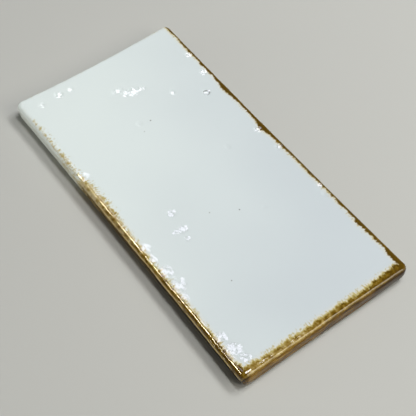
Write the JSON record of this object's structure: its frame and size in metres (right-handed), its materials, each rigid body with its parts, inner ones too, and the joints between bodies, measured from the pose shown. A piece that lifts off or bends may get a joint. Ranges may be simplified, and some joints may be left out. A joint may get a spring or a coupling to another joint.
{
  "type": "subway wall tile",
  "caption": "Rectangular glazed ceramic wall tile with sides that draw in, a rolled rim, a set-back foot and a keyed back, for running-bond tiling.",
  "frame": {"origin": "middle of the back, on the plane that the tile beds on", "axes": "+Z out of the glazed face, +X along the long side"},
  "size_m": [0.149, 0.0728, 0.0075],
  "materials": {
    "glazed_body": "gloss white glaze that thins to honey brown at the rims, bare pale clay on the back"
  },
  "bodies": {
    "root": {"glazed_tile": "glazed_body"}
  },
  "joints": []
}
